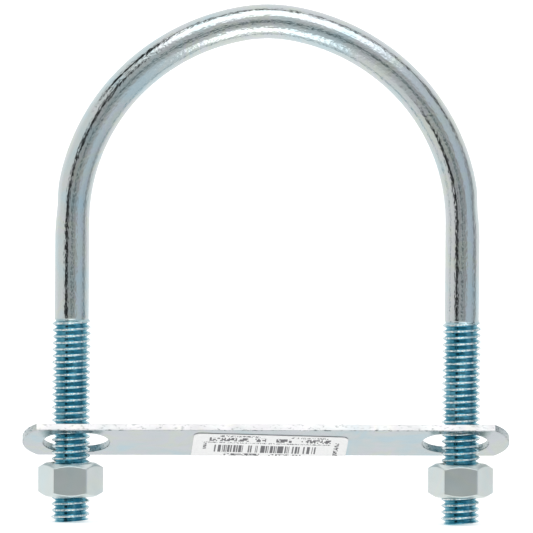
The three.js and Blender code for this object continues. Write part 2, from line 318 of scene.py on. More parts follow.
# %% Zinc group
def new_group(name, inputs, outputs):
    """An empty node group with named sockets: each is (name, kind, default)."""
    group = bpy.data.node_groups.new(name, "ShaderNodeTree")
    for socket_name, kind, default in inputs:
        socket = group.interface.new_socket(socket_name, in_out="INPUT", socket_type=kind)
        if default is not None:
            socket.default_value = default
    for socket_name, kind in outputs:
        group.interface.new_socket(socket_name, in_out="OUTPUT", socket_type=kind)
    entry = group.nodes.new("NodeGroupInput")
    leave = group.nodes.new("NodeGroupOutput")
    return group, entry, leave


zinc_group, entry, leave = new_group(
    "zinc_bath",
    [
        ("Place", "NodeSocketVector", None),
        ("Metal", "NodeSocketColor", (0.66, 0.71, 0.72, 1.0)),
        ("Tint Strength", "NodeSocketFloat", 0.5),
        ("Smoothest", "NodeSocketFloat", 0.2),
        ("Dullest", "NodeSocketFloat", 0.32),
    ],
    [("Color", "NodeSocketColor"), ("Roughness", "NodeSocketFloat"), ("Grain", "NodeSocketFloat")],
)
FILM_BLUE = (0.82, 1.0, 1.12)
FILM_CLEAR = (1.0, 1.0, 1.0)
FILM_PINK = (1.07, 0.97, 1.05)
FILM_STRAW = (1.09, 1.03, 0.90)
FILM_PALE_BLUE = (0.92, 1.0, 1.08)
given = entry.outputs
drift = noise(zinc_group, given["Place"], 70.0, 3.0, 0.6, distortion=0.6)
film = ramp(
    zinc_group, drift,
    [(0.34, FILM_BLUE), (0.46, FILM_CLEAR), (0.52, FILM_PINK), (0.58, FILM_STRAW), (0.68, FILM_PALE_BLUE)],
)
tinted = mix_colour(zinc_group, 1.0, given["Metal"], film, "MULTIPLY")
colour = mix_colour(zinc_group, given["Tint Strength"], given["Metal"], tinted)
cloud = noise(zinc_group, given["Place"], 240.0, 4.0, 0.6)
gloss = map_range(zinc_group, cloud, 0.3, 0.7, given["Smoothest"], given["Dullest"], "LINEAR")
zinc_group.links.new(colour, leave.inputs["Color"])
zinc_group.links.new(gloss, leave.inputs["Roughness"])
zinc_group.links.new(noise(zinc_group, given["Place"], 2600.0, 3.0, 0.65), leave.inputs["Grain"])
print("Group", zinc_group.name, "has", len(zinc_group.nodes), "nodes")


# %% Helpers for a metal finish
def new_finish(name):
    """A new material. Returns the material, its node tree and its Principled BSDF."""
    material = bpy.data.materials.new(name)
    material.use_nodes = True
    tree = material.node_tree
    return material, tree, tree.nodes["Principled BSDF"]


def zinc(tree, place, metal, tint, smoothest, dullest):
    """The zinc bath group, placed in a material with its own values."""
    node = tree.nodes.new("ShaderNodeGroup")
    node.node_tree = zinc_group
    tree.links.new(place, node.inputs["Place"])
    node.inputs["Metal"].default_value = (*metal, 1.0)
    node.inputs["Tint Strength"].default_value = tint
    node.inputs["Smoothest"].default_value = smoothest
    node.inputs["Dullest"].default_value = dullest
    return node


def relief(tree, *layers):
    """Bumps on top of each other. Each layer is (height from 0 to 1, real height in metres)."""
    normal = None
    for height_value, distance in layers:
        inputs = {"Height": height_value, "Distance": distance, "Strength": 1.0}
        if normal is not None:
            inputs["Normal"] = normal
        normal = add_node(tree, "Bump", inputs).outputs["Normal"]
    return normal


# %% [markdown]
# ## The rod's finish
# The bar is cold drawn before it is bent and plated, which leaves fine lines, shallow lumps and pits
# along it. They break the edges of the dark reflections into a ragged streak. The lines follow the bar
# round its bend, so they read a vector that is stored on the mesh as if the bar were straight. The bath
# builds up less in the thread's grooves, which look bluer than its crests. The grooves' darker colour is
# painted shade, and the crests' pale colour is a painted highlight that breaks into patches.

# %% Rod finish
rod_zinc, tree, shader = new_finish("rod_zinc")
along_bar = add_node(tree, "Attribute", attribute_name="along_bar").outputs["Vector"]
threaded = add_node(tree, "Attribute", attribute_name="threaded").outputs["Fac"]
groove = add_node(tree, "Attribute", attribute_name="groove").outputs["Fac"]
bath = zinc(tree, along_bar, (0.62, 0.695, 0.70), tint=0.5, smoothest=0.08, dullest=0.19)
drawn = noise(tree, along_bar, 2200.0, 1.0, 0.4, squeeze=(1.0, 1.0, 0.03))
lumps = noise(tree, along_bar, 380.0, 1.0, 0.5, squeeze=(1.0, 1.0, 0.3))
pits = noise(tree, along_bar, 1900.0, 1.0, 0.4, squeeze=(1.0, 1.0, 0.6))
# The crest colours are a painted highlight: near white where the pits' noise is high, a dimmer teal
# elsewhere.
DIMMER_CREST_HIGHLIGHT = (0.48, 0.64, 0.69, 1.0)
PAINTED_CREST_HIGHLIGHT = (0.88, 0.92, 0.92, 1.0)
# The groove colours are the bath's blue plus painted shade in the grooves, varied by the lumps' noise.
DARK_SHADED_GROOVE = (0.13, 0.40, 0.50, 1.0)
PALE_SHADED_GROOVE = (0.27, 0.53, 0.62, 1.0)
crest_highlight = mix_colour(tree, map_range(tree, pits, 0.42, 0.60), DIMMER_CREST_HIGHLIGHT, PAINTED_CREST_HIGHLIGHT)
groove_shade = mix_colour(tree, map_range(tree, lumps, 0.4, 0.6), DARK_SHADED_GROOVE, PALE_SHADED_GROOVE)
# The groove attribute blends the painted crest highlight into the blue, painted-shade groove colour.
thread_blue_and_light = mix_colour(tree, map_range(tree, groove, 0.08, 0.36), crest_highlight, groove_shade)
surface = mix_colour(tree, threaded, bath.outputs["Color"], thread_blue_and_light)
tree.links.new(surface, shader.inputs["Base Color"])
shader.inputs["Metallic"].default_value = 1.0
THREAD_POLISH = 0.5
polish = map_range(tree, threaded, 0.0, 1.0, 1.0, THREAD_POLISH)
tree.links.new(math_node(tree, "MULTIPLY", bath.outputs["Roughness"], polish), shader.inputs["Roughness"])
normal = relief(
    tree, (lumps, 0.06 * MM), (drawn, 0.03 * MM), (pits, 0.062 * MM), (bath.outputs["Grain"], 0.002 * MM),
)
tree.links.new(normal, shader.inputs["Normal"])
print("Finish", rod_zinc.name, "has", len(tree.nodes), "nodes")

# %% [markdown]
# ## Sizes of the rod
# These are the sizes that the CAD rod was drawn with, in metres. The leg spacing, the thread's radius and
# the overall height are read from the CAD boxes instead.

# %% Rod sizes
nut_low, nut_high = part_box("hex_nut_right")
rod_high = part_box("u_rod")[1]
LEG_X = (nut_low.x + nut_high.x) / 2
THREAD_RADIUS = rod_high.x - LEG_X
THREAD_DEPTH = 1.0125 * MM
THREAD_PITCH = 25.4 * MM / 16
THREAD_LENGTH = 50.6 * MM
SHANK_RADIUS = 8.45 * MM / 2
CROWN_RADIUS = LEG_X - 12.4 * MM
SIDE_RADIUS = LEG_X + 1.0 * MM
CROWN_SWEEP = math.radians(10)
SHOULDER_SWEEP = math.radians(30)
SIDES = 48
LEFT_CREST = 0.45 * MM
RIGHT_CREST = 0.7 * MM
print("Leg spacing in mm:", round(2 * LEG_X / MM, 3), "thread radius in mm:", round(THREAD_RADIUS / MM, 3))

# %% [markdown]
# ## The bend's arcs
# A press bends the bar over a former, and the bar springs back unevenly, so the bend is not one half
# circle. It is five arcs, each tangent to the next: a side, a shoulder, the crown, a shoulder and a side.

# %% Arcs of the bend
shoulder_end = CROWN_SWEEP + SHOULDER_SWEEP
SHOULDER_RADIUS = (
    LEG_X - CROWN_RADIUS * math.sin(CROWN_SWEEP) - SIDE_RADIUS * (1 - math.sin(shoulder_end))
) / (math.sin(shoulder_end) - math.sin(CROWN_SWEEP))
crown_middle = Vector((0.0, 0.0, rod_high.z - SHANK_RADIUS - CROWN_RADIUS))


def next_middle(middle, radius, next_radius, angle):
    """The middle of the arc that is tangent to the last one at that angle from the top."""
    return middle + (radius - next_radius) * Vector((math.sin(angle), 0.0, math.cos(angle)))


shoulder_middle = next_middle(crown_middle, CROWN_RADIUS, SHOULDER_RADIUS, CROWN_SWEEP)
side_middle = next_middle(shoulder_middle, SHOULDER_RADIUS, SIDE_RADIUS, shoulder_end)
RIGHT_ARCS = [
    (crown_middle, CROWN_RADIUS, 0.0, CROWN_SWEEP),
    (shoulder_middle, SHOULDER_RADIUS, CROWN_SWEEP, shoulder_end),
    (side_middle, SIDE_RADIUS, shoulder_end, math.pi / 2),
]
SPRINGING = side_middle.z
print("Shoulder radius in mm:", round(SHOULDER_RADIUS / MM, 2), "springing in mm:", round(SPRINGING / MM, 2))


# %% [markdown]
# ## The thread
# A thread could be faked with a bump, but its outline shows on both sides of each leg. So one pitch of
# its profile, a rounded crest, a flank, a rounded root and a flank, is spun once round the leg while it
# climbs by one pitch. That turn is then copied up the leg, and the seams are merged.

# %% Thread
CREST_CURVE = [(0.0, 0.0), (0.015 * MM, 0.09 * MM), (0.06 * MM, 0.17 * MM), (0.14 * MM, 0.23 * MM)]
CREST_FLAT = 0.2 * MM
FLANK_SLOPE = math.tan(math.radians(30))
FLANK_END = THREAD_DEPTH - 0.14 * MM
ROOT_START = THREAD_DEPTH - 0.04 * MM
ROOT_HALF_WIDTH = 0.10 * MM
MERGE_WITHIN = 0.002 * MM


def thread_outline(crest):
    """One pitch of the thread's profile as (radius, height) from crest to crest."""
    root_height = THREAD_PITCH / 2
    half = [(crest - drop, rise) for drop, rise in CREST_CURVE]
    half.append((crest - FLANK_END, CREST_FLAT / 2 + FLANK_END * FLANK_SLOPE))
    half.append((crest - ROOT_START, root_height - ROOT_HALF_WIDTH))
    middle = [(crest - THREAD_DEPTH, root_height)]
    return half + middle + [(radius, THREAD_PITCH - rise) for radius, rise in reversed(half)]


def helix(shape, crest, crest_height, low, high):
    """A right-hand thread about Z from below low to above high. Its crest crosses +X at crest_height."""
    start = crest_height - THREAD_PITCH * (math.ceil((crest_height - low) / THREAD_PITCH) + 1)
    corners = [shape.verts.new((radius, 0.0, start + rise)) for radius, rise in thread_outline(crest)]
    line = [shape.edges.new(pair) for pair in zip(corners, corners[1:])]
    bmesh.ops.spin(
        shape, geom=corners + line, cent=(0, 0, 0), axis=(0, 0, 1), dvec=(0, 0, THREAD_PITCH / SIDES),
        angle=2 * math.pi, steps=SIDES, use_merge=False, use_normal_flip=False, use_duplicate=False,
    )
    turn = shape.verts[:] + shape.edges[:] + shape.faces[:]
    for count in range(1, math.ceil((high - start) / THREAD_PITCH) + 1):
        copy = bmesh.ops.duplicate(shape, geom=turn)["geom"]
        copied = [v for v in copy if isinstance(v, bmesh.types.BMVert)]
        bmesh.ops.translate(shape, verts=copied, vec=(0, 0, THREAD_PITCH * count))
    bmesh.ops.remove_doubles(shape, verts=shape.verts, dist=MERGE_WITHIN)


def set_radius(vertex, radius):
    """Moves a vertex straight in or out to that radius from the Z axis."""
    now = math.hypot(vertex.co.x, vertex.co.y)
    vertex.co.x *= radius / now
    vertex.co.y *= radius / now


def cut_off(shape, point, away):
    """Cuts the shape at a plane and drops what lies on the side that away points to. Returns the new rim."""
    everything = shape.verts[:] + shape.edges[:] + shape.faces[:]
    cut = bmesh.ops.bisect_plane(
        shape, geom=everything, dist=MERGE_WITHIN / 2, plane_co=point, plane_no=away,
        clear_outer=True, clear_inner=False,
    )
    return [e for e in cut["geom_cut"] if isinstance(e, bmesh.types.BMEdge)]


print("One pitch of the thread has", len(thread_outline(THREAD_RADIUS)), "points")

# %% [markdown]
# ## A threaded leg
# The cropped end slants a little, and its thread starts small because the bar's end was chamfered before
# the thread was rolled. At the top the rolls stop, so the crest sinks and the root rises until both meet
# the plain shank. Both ends are made by moving the helix's vertices straight in or out, and a plane crops
# each end.

# %% Leg
END_SLANT = math.radians(4.5)
END_RADIUS = THREAD_RADIUS - 0.7125 * MM
END_BELOW = 0.5 * MM
RUNOUT = 1.6 * MM


def smooth_step(value):
    """0 below 0, 1 above 1, and an easy curve between."""
    value = min(max(value, 0.0), 1.0)
    return value * value * (3 - 2 * value)


def threaded_leg(crest_height):
    """One leg about Z, open at its top rim, with its cropped end closed."""
    leg = bmesh.new()
    helix(leg, THREAD_RADIUS, crest_height, 0.0, THREAD_LENGTH)
    for vertex in leg.verts:
        radius = math.hypot(vertex.co.x, vertex.co.y)
        limit = END_RADIUS + max(vertex.co.z, -END_BELOW)
        radius = min(radius, limit)
        fade = smooth_step((vertex.co.z - THREAD_LENGTH + RUNOUT) / RUNOUT)
        set_radius(vertex, radius + fade * (SHANK_RADIUS - radius))
    cut_off(leg, (0, 0, THREAD_LENGTH), (0, 0, 1))
    end_point = Vector((0, 0, END_RADIUS * math.tan(END_SLANT)))
    end_rim = cut_off(leg, end_point, (math.sin(END_SLANT), 0, -math.cos(END_SLANT)))
    bmesh.ops.edgeloop_fill(leg, edges=end_rim)
    return leg


def tally(name, shape):
    """Prints how many faces a shape has, and how many of its edges are open."""
    open_edges = sum(edge.is_boundary for edge in shape.edges)
    print(name, "has", len(shape.faces), "faces and", open_edges, "open edges")


trial = threaded_leg(RIGHT_CREST)
tally("A leg with its top rim open", trial)
trial.free()

# %% [markdown]
# ## The whole rod
# A curve with a round section could make the bar, but its rings would not meet the threads. So the shank
# starts as a circle on the right leg. It is pulled up to the springing, spun round the middle of each arc
# in turn, and pulled down the left leg, the way a press bends it. Each end ring is then bridged to its
# threaded leg.

# %% Shank and bend
BEND_STEP = 1.2 * MM
PULL_STEPS = 8
SHANK_START = THREAD_LENGTH + 0.3 * MM


def add_copy(target, source, place):
    """Puts one bmesh into another at a place, and frees it."""
    holder = bpy.data.meshes.new("holder")
    source.to_mesh(holder)
    source.free()
    holder.transform(place)
    target.from_mesh(holder)
    bpy.data.meshes.remove(holder)


def pull(shape, ring, offset, steps):
    """Extrudes a ring of edges by an offset in equal steps and returns the last ring."""
    for _ in range(steps):
        grown = bmesh.ops.extrude_edge_only(shape, edges=ring)["geom"]
        corners = [v for v in grown if isinstance(v, bmesh.types.BMVert)]
        bmesh.ops.translate(shape, verts=corners, vec=offset / steps)
        ring = [e for e in grown if isinstance(e, bmesh.types.BMEdge)]
    return ring


def bend(shape, ring, middle, radius, sweep):
    """Spins a ring of edges towards -X about the middle of an arc and returns the last ring."""
    corners = list({v for e in ring for v in e.verts})
    steps = max(2, round(radius * sweep / BEND_STEP))
    spun = bmesh.ops.spin(
        shape, geom=corners + ring, cent=middle, axis=(0, -1, 0), dvec=(0, 0, 0), angle=sweep, steps=steps,
        use_merge=False, use_normal_flip=False, use_duplicate=False,
    )
    return [e for e in spun["geom_last"] if isinstance(e, bmesh.types.BMEdge)]


rod_shape = bmesh.new()
circle_place = Matrix.Translation((LEG_X, 0, SHANK_START))
bmesh.ops.create_circle(rod_shape, cap_ends=False, radius=SHANK_RADIUS, segments=SIDES, matrix=circle_place)
rise = Vector((0, 0, SPRINGING - SHANK_START))
ring = pull(rod_shape, rod_shape.edges[:], rise, PULL_STEPS)
mirror_x = Vector((-1, 1, 1))
for middle, radius, start, stop in reversed(RIGHT_ARCS[1:]):
    ring = bend(rod_shape, ring, middle, radius, stop - start)
ring = bend(rod_shape, ring, crown_middle, CROWN_RADIUS, 2 * CROWN_SWEEP)
for middle, radius, start, stop in RIGHT_ARCS[1:]:
    ring = bend(rod_shape, ring, middle * mirror_x, radius, stop - start)
pull(rod_shape, ring, -rise, PULL_STEPS)
last_x = [v.co.x for v in rod_shape.verts if v.is_boundary and v.co.x < 0]
print("The left shank's end is centred at x in mm:", round(sum(last_x) / len(last_x) / MM, 4))

# %% Join the legs
for side, crest_height in ((-1, LEFT_CREST), (1, RIGHT_CREST)):
    add_copy(rod_shape, threaded_leg(crest_height), Matrix.Translation((side * LEG_X, 0, 0)))
    rims = [e for e in rod_shape.edges if e.is_boundary and e.verts[0].co.x * side > 0]
    bmesh.ops.bridge_loops(rod_shape, edges=rims)
bmesh.ops.recalc_face_normals(rod_shape, faces=rod_shape.faces)
tally("The rod", rod_shape)


# %% [markdown]
# ## Coordinates along the bar
# A pattern that runs along a bent bar needs to know where each point would be if the bar were straight.
# An unwrapped map would do, but the bend's arcs are known, so the place is worked out: how far along the
# mid-line the nearest point lies, and how far the vertex stands off it.

# %% Straightened coordinates
ANGLE_SLACK = 1e-6


def straightened(point):
    """Where a point would be on a straight bar along Z that starts at the crown."""
    side = 1.0 if point.x >= 0 else -1.0
    x = abs(point.x)
    walked = 0.0
    for middle, radius, start, stop in RIGHT_ARCS:
        angle = math.atan2(x - middle.x, point.z - middle.z)
        if angle <= stop + ANGLE_SLACK:
            reach = math.hypot(x - middle.x, point.z - middle.z)
            return Vector((reach - radius, point.y, side * (walked + radius * (angle - start))))
        walked += radius * (stop - start)
    return Vector((x - LEG_X, point.y, side * (walked + SPRINGING - point.z)))


print("The left leg's end lies along the bar at mm:", round(straightened(Vector((-LEG_X, 0, 0))).z / MM, 1))


# %% [markdown]
# ## From shape to piece
# Every piece becomes an object in the same way: its mesh is shaded smooth with a crease over each sharp
# edge, and its object stays at the origin, because its place is in its mesh.

# %% Finish a piece
def finish_piece(name, shape, materials, sharp=30, flat_sides=False):
    """A bmesh as an object at the origin, smooth except over edges sharper than that many degrees.

    With flat_sides the wide faces keep flat shading and only the small bevels between them look round.
    """
    mesh = bpy.data.meshes.new(name)
    shape.to_mesh(mesh)
    shape.free()
    for material in materials:
        mesh.materials.append(material)
    mesh.shade_smooth()
    mesh.set_sharp_from_angle(angle=math.radians(sharp))
    piece = bpy.data.objects.new(name, mesh)
    scene.collection.objects.link(piece)
    if flat_sides:
        piece.modifiers.new("even_shading", "WEIGHTED_NORMAL").keep_sharp = True
    mesh.calc_loop_triangles()
    print(name, "has", len(mesh.loop_triangles), "triangles")
    return piece


# %% [markdown]
# ## The press's marks
# The press grips the bar just beyond each springing and leaves a shallow flat mark on the outside of the
# bend. A bump could shade it, but the mark shows in the outline, so the vertices near it are pushed in,
# most at its middle.

# %% Press marks
DENT_AT = 73.0 * MM
DENT_REACH = 3.6 * MM
DENT_DEPTH = 0.4 * MM
for vertex in rod_shape.verts:
    place = straightened(vertex.co)
    away = (abs(place.z) - DENT_AT) / DENT_REACH
    outer = max(place.x / SHANK_RADIUS, 0.0)
    vertex.co.x -= math.copysign(DENT_DEPTH * math.exp(-away * away) * outer * outer, vertex.co.x)
print("Each mark lies", DENT_AT / MM, "mm along the bar from the crown")

# %% [markdown]
# ## The rod's stored values
# The finish reads three attributes: the straightened place, how deep in a groove the vertex lies, and
# whether it is on the thread.

# %% Rod piece
rod = finish_piece("bent_rod", rod_shape, [rod_zinc], sharp=40)
straight_values = []
groove_values = []
thread_values = []
for vertex in rod.data.vertices:
    place = straightened(vertex.co)
    on_thread = vertex.co.z < THREAD_LENGTH
    depth = (THREAD_RADIUS - math.hypot(place.x, place.y)) / THREAD_DEPTH
    straight_values.extend(place)
    groove_values.append(min(max(depth, 0.0), 1.0) if on_thread else 0.0)
    thread_values.append(smooth_step((THREAD_LENGTH - vertex.co.z) / RUNOUT))
rod.data.attributes.new("along_bar", "FLOAT_VECTOR", "POINT").data.foreach_set("vector", straight_values)
rod.data.attributes.new("groove", "FLOAT", "POINT").data.foreach_set("value", groove_values)
rod.data.attributes.new("threaded", "FLOAT", "POINT").data.foreach_set("value", thread_values)
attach(rod, "rod")
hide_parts("u_rod")
print("Stored", len(groove_values), "places along the bar")

# %% [markdown]
# ## The nuts' finish
# The nuts come out of the same bath as the rod, but barrel plating knocks them dull and leaves short
# dents along their flats.

# %% Nut finish
nut_zinc, tree, shader = new_finish("nut_zinc")
place = add_node(tree, "TexCoord").outputs["Object"]
bath = zinc(tree, place, (0.76, 0.835, 0.825), tint=0.25, smoothest=0.31, dullest=0.40)
tree.links.new(bath.outputs["Color"], shader.inputs["Base Color"])
shader.inputs["Metallic"].default_value = 1.0
tree.links.new(bath.outputs["Roughness"], shader.inputs["Roughness"])
dents = noise(tree, place, 1300.0, 2.0, 0.5, squeeze=(0.12, 0.12, 1.0))
normal = relief(tree, (dents, 0.02 * MM), (bath.outputs["Grain"], 0.004 * MM))
tree.links.new(normal, shader.inputs["Normal"])
print("Finish", nut_zinc.name, "has", len(tree.nodes), "nodes")

# %% [markdown]
# ## The nuts
# A hex nut is a forged slug, chamfered on both faces, drilled, countersunk and tapped. A cone could be
# cut from a prism, but the chamfer's curved line over the flats comes out cleaner if a finely divided
# hexagon is pulled out ring by ring: up to that line, in over the chamfer, and in over the face. The
# tapped hole is a piece of the same helix as the rod's, a little wider, and is bridged to both faces.

# %% Nut shape
NUT_HEIGHT = nut_high.z - nut_low.z
NUT_CORNER = (nut_high.x - nut_low.x) / 2
NUT_FACE = 12.4 * MM / 2
NUT_MOUTH = THREAD_RADIUS + 0.975 * MM / 2
NUT_CHAMFER = math.tan(math.radians(30))
NUT_EDGE = 0.14 * MM
MOUTH_MARGIN = 0.25 * MM
THREAD_CLEARANCE = 0.22 * MM
HEX_CUTS = 15


def tapped_hole(crest_height):
    """The nut's thread about its own middle, opened out to the countersinks and cut flush."""
    hole = bmesh.new()
    half = NUT_HEIGHT / 2
    helix(hole, THREAD_RADIUS + THREAD_CLEARANCE, crest_height, -half, half)
    for vertex in hole.verts:
        radius = math.hypot(vertex.co.x, vertex.co.y)
        set_radius(vertex, max(radius, NUT_MOUTH - half + abs(vertex.co.z)))
    cut_off(hole, (0, 0, half), (0, 0, 1))
    cut_off(hole, (0, 0, -half), (0, 0, -1))
    return hole


def onto_chamfer(ring, sign):
    """Moves a ring of the hexagon up or down to the line where the chamfer meets the flats."""
    for vertex in {v for e in ring for v in e.verts}:
        radius = math.hypot(vertex.co.x, vertex.co.y)
        vertex.co.z = sign * (NUT_HEIGHT / 2 - (radius - NUT_FACE) * NUT_CHAMFER)


def onto_face(ring, sign, radius):
    """Moves a ring onto the nut's face, at that radius."""
    for vertex in {v for e in ring for v in e.verts}:
        set_radius(vertex, radius)
        vertex.co.z = sign * NUT_HEIGHT / 2


def hex_nut(crest_height):
    """A nut about its own middle, with its corners on X."""
    nut = bmesh.new()
    corner_first = Matrix.Rotation(math.pi / 2, 4, "Z")
    bmesh.ops.create_circle(nut, cap_ends=False, radius=NUT_CORNER, segments=6, matrix=corner_first)
    bmesh.ops.subdivide_edges(nut, edges=nut.edges[:], cuts=HEX_CUTS)
    first = nut.edges[:]
    for sign in (1, -1):
        ring = pull(nut, first, Vector((0, 0, 0)), 1)
        onto_chamfer(ring, sign)
        ring = pull(nut, ring, Vector((0, 0, 0)), 1)
        onto_face(ring, sign, NUT_FACE)
        ring = pull(nut, ring, Vector((0, 0, 0)), 1)
        onto_face(ring, sign, NUT_MOUTH + MOUTH_MARGIN)
    bmesh.ops.recalc_face_normals(nut, faces=nut.faces)
    sharp = [e for e in nut.edges if not e.is_boundary and e.calc_face_angle() > math.radians(12)]
    bmesh.ops.bevel(
        nut, geom=sharp, offset=NUT_EDGE, offset_type="OFFSET", segments=2, profile=0.5, affect="EDGES",
        material=-1, clamp_overlap=True, loop_slide=True,
    )
    add_copy(nut, tapped_hole(crest_height), Matrix.Identity(4))
    for sign in (1, -1):
        rims = [e for e in nut.edges if e.is_boundary and e.verts[0].co.z * sign > 0]
        bmesh.ops.bridge_loops(nut, edges=rims)
    bmesh.ops.recalc_face_normals(nut, faces=nut.faces)
    tally("The nut", nut)
    return nut


# %% Nut pieces
for side, crest_height in (("left", LEFT_CREST), ("right", RIGHT_CREST)):
    node = "hex_nut_" + side
    low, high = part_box(node)
    middle = (low + high) / 2
    shape = hex_nut(crest_height - middle.z)
    bmesh.ops.translate(shape, verts=shape.verts, vec=middle)
    nut = finish_piece("nut_" + side, shape, [nut_zinc], sharp=50, flat_sides=True)
    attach(nut, side + "_nut")
    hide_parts(node)

# %% [markdown]
# ## The plate's finishes
# The strap is rolled flat, so its faces are smooth with a slow ripple along it. It is then cropped and
# punched, and a punch tears steel: the long edges are bright and scuffed, the ends and the slot walls are
# darker, and the burr round the underside is worn. One picture could hold all that, but four finishes on
# the faces they belong to are simpler: one for the flat faces, and one function with its own values for
# each of the other three.

# %% Plate face finish
plate_zinc, tree, shader = new_finish("plate_zinc")
place = add_node(tree, "TexCoord").outputs["Object"]
bath = zinc(tree, place, (0.55, 0.615, 0.625), tint=0.6, smoothest=0.13, dullest=0.24)
tree.links.new(bath.outputs["Color"], shader.inputs["Base Color"])
shader.inputs["Metallic"].default_value = 1.0
tree.links.new(bath.outputs["Roughness"], shader.inputs["Roughness"])
ripple = noise(tree, place, 700.0, 2.0, 0.5, squeeze=(0.12, 1.0, 1.0))
normal = relief(tree, (ripple, 0.04 * MM), (bath.outputs["Grain"], 0.004 * MM))
tree.links.new(normal, shader.inputs["Normal"])
print("Finish", plate_zinc.name, "has", len(tree.nodes), "nodes")


# %% Torn edge finishes
WEAR_EDGE = 0.05


def cut_finish(name, metal, worn, share, smoothest, dullest):
    """A torn zinc surface. The noise below the share is a darker, worn metal."""
    material, tree, shader = new_finish(name)
    place = add_node(tree, "TexCoord").outputs["Object"]
    bath = zinc(tree, place, metal, tint=0.3, smoothest=smoothest, dullest=dullest)
    tear = noise(tree, place, 1700.0, 5.0, 0.7, squeeze=(0.45, 1.0, 1.0))
    whole = map_range(tree, tear, share - WEAR_EDGE, share + WEAR_EDGE)
    tree.links.new(mix_colour(tree, whole, (*worn, 1.0), bath.outputs["Color"]), shader.inputs["Base Color"])
    shader.inputs["Metallic"].default_value = 1.0
    tree.links.new(bath.outputs["Roughness"], shader.inputs["Roughness"])
    normal = relief(tree, (tear, 0.03 * MM), (bath.outputs["Grain"], 0.003 * MM))
    tree.links.new(normal, shader.inputs["Normal"])
    print("Finish", name, "has", len(tree.nodes), "nodes")
    return material


cut_zinc = cut_finish(
    "cut_edge_zinc", metal=(0.73, 0.74, 0.74), worn=(0.42, 0.44, 0.44), share=0.40, smoothest=0.28,
    dullest=0.45,
)
punched_zinc = cut_finish(
    "punched_edge_zinc", metal=(0.56, 0.63, 0.64), worn=(0.14, 0.23, 0.25), share=0.43, smoothest=0.20,
    dullest=0.36,
)
burr_zinc = cut_finish(
    "burr_zinc", metal=(0.60, 0.64, 0.65), worn=(0.14, 0.18, 0.19), share=0.44, smoothest=0.22, dullest=0.40,
)

# %% [markdown]
# ## Where the plate lies
# The plate hangs tilted on the legs. It is drawn flat about its own middle, where its outline is easy to
# think about, and moved into place at the end. The place comes from the mount on its upper face.

# %% Plate place
upper_face = next(m for m in frame["record"]["mounts"] if m["name"] == "plate_upper_face")
plate_up = Vector(upper_face["axis"]).normalized()
plate_back = Vector((0.0, plate_up.z, -plate_up.y)).normalized()
plate_right = plate_back.cross(plate_up)
PLATE_THICKNESS = 1.76 * MM
plate_middle = Vector(upper_face["pos_m"]) - plate_up * PLATE_THICKNESS / 2
turn = Matrix((plate_right, plate_back, plate_up)).transposed().to_4x4()
PLATE_PLACE = Matrix.Translation(plate_middle) @ turn
print("Plate tilt in degrees:", round(math.degrees(math.acos(plate_up.z)), 2))

# %% [markdown]
# ## The clamp plate
# The strap is stamped from sheet: two round ends cut off by two long sides, and a slot for each leg. A
# solid with holes cut out of it would leave ragged faces round the slots, so a narrow band of even faces
# is laid round each outline first, the face between the bands is filled, and the sheet is then given its
# thickness.

# %% Plate sizes
PLATE_HALF_WIDTH = 15.9 * MM / 2
PLATE_END_RADIUS = 10.5 * MM
PLATE_HALF_LENGTH = 119.95 * MM / 2
SLOT_RADIUS = 11.7 * MM / 2
SLOT_STRAIGHT = 16.4 * MM / 2 - SLOT_RADIUS
SLOT_X = LEG_X - 1.35 * MM
RIM = 0.8 * MM
RIM_ROUND = 0.16 * MM
CLOSE = 0.1 * MM
ROUND_STEPS = 96
SIDE_CUTS = 5
print("The slots reach out to mm:", round((SLOT_X + SLOT_STRAIGHT + SLOT_RADIUS) / MM, 2))


# %% Plate outlines
def long_loop(shape, middle, radius, cut_at):
    """A closed loop of two arcs about x = -middle and x = middle, cut at x = cut_at, with straight sides."""
    for side in (-1, 1):
        part = bmesh.new()
        place = Matrix.Translation((side * middle, 0, 0))
        bmesh.ops.create_circle(part, cap_ends=False, radius=radius, segments=ROUND_STEPS, matrix=place)
        cut_off(part, (side * cut_at, 0, 0), (-side, 0, 0))
        add_copy(shape, part, Matrix.Identity(4))
    for sign in (-1, 1):
        side_edge = shape.edges.new([v for v in shape.verts if len(v.link_edges) == 1 and v.co.y * sign > 0])
        bmesh.ops.subdivide_edges(shape, edges=[side_edge], cuts=SIDE_CUTS)


def plate_outline(shape, inset):
    """The strap's outline, moved in by that much."""
    half = PLATE_HALF_WIDTH - inset
    radius = PLATE_END_RADIUS - inset
    middle = PLATE_HALF_LENGTH - PLATE_END_RADIUS
    long_loop(shape, middle, radius, middle + math.sqrt(radius * radius - half * half))


def slot_outline(shape, outset, x):
    """The outline of the slot at x, moved out by that much."""
    long_loop(shape, SLOT_STRAIGHT, SLOT_RADIUS + outset, SLOT_STRAIGHT)
    bmesh.ops.translate(shape, verts=shape.verts, vec=(x, 0, 0))


def rim_band(shape, outline, *place):
    """Adds a band of faces between an outline and the same outline moved by the rim's width."""
    band = bmesh.new()
    for width in (0.0, RIM):
        loop = bmesh.new()
        outline(loop, width, *place)
        add_copy(band, loop, Matrix.Identity(4))
    bmesh.ops.bridge_loops(band, edges=band.edges[:])
    add_copy(shape, band, Matrix.Identity(4))


plate_shape = bmesh.new()
rim_band(plate_shape, plate_outline)
for x in (-SLOT_X, SLOT_X):
    rim_band(plate_shape, slot_outline, x)
print("The three bands have", len(plate_shape.faces), "faces")


# %% Plate shape
def is_inner(edge):
    """Whether an open edge is on the inner side of a rim band, where the plate's face is still missing."""
    end_middle = PLATE_HALF_LENGTH - PLATE_END_RADIUS
    for vertex in edge.verts:
        x, y = abs(vertex.co.x), abs(vertex.co.y)
        slot_gap = math.hypot(max(abs(x - SLOT_X) - SLOT_STRAIGHT, 0.0), y) - SLOT_RADIUS
        side_gap = PLATE_HALF_WIDTH - y
        end_gap = PLATE_END_RADIUS - math.hypot(x - end_middle, y)
        edge_gap = min(side_gap, end_gap) if x > end_middle else side_gap
        if abs(slot_gap) < CLOSE or abs(edge_gap) < CLOSE:
            return False
    return True


